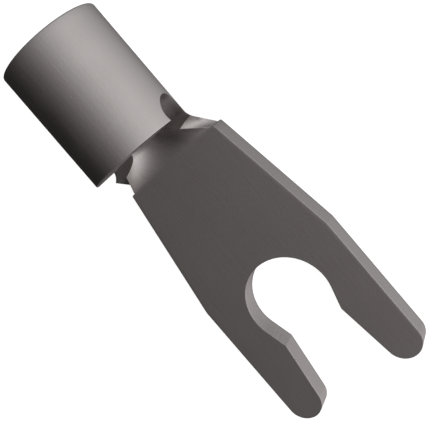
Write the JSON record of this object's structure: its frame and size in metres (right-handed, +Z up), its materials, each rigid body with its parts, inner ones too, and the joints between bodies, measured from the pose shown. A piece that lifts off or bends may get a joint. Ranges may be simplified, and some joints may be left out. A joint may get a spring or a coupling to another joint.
{
  "type": "fork terminal",
  "caption": "Bare fork terminal: a crimp barrel for a wire end, a pressed neck and a flat forked tongue that slides under a terminal screw.",
  "frame": {"origin": "middle of the underside, below the centre of the overall box", "axes": "+X from the barrel towards the fork, +Z up, out of the tongue's upper face"},
  "size_m": [0.0164, 0.006, 0.004],
  "materials": {
    "tin_plate": "satin tin plate over copper, warm grey"
  },
  "bodies": {
    "root": {"fork_terminal": "tin_plate"}
  },
  "joints": []
}
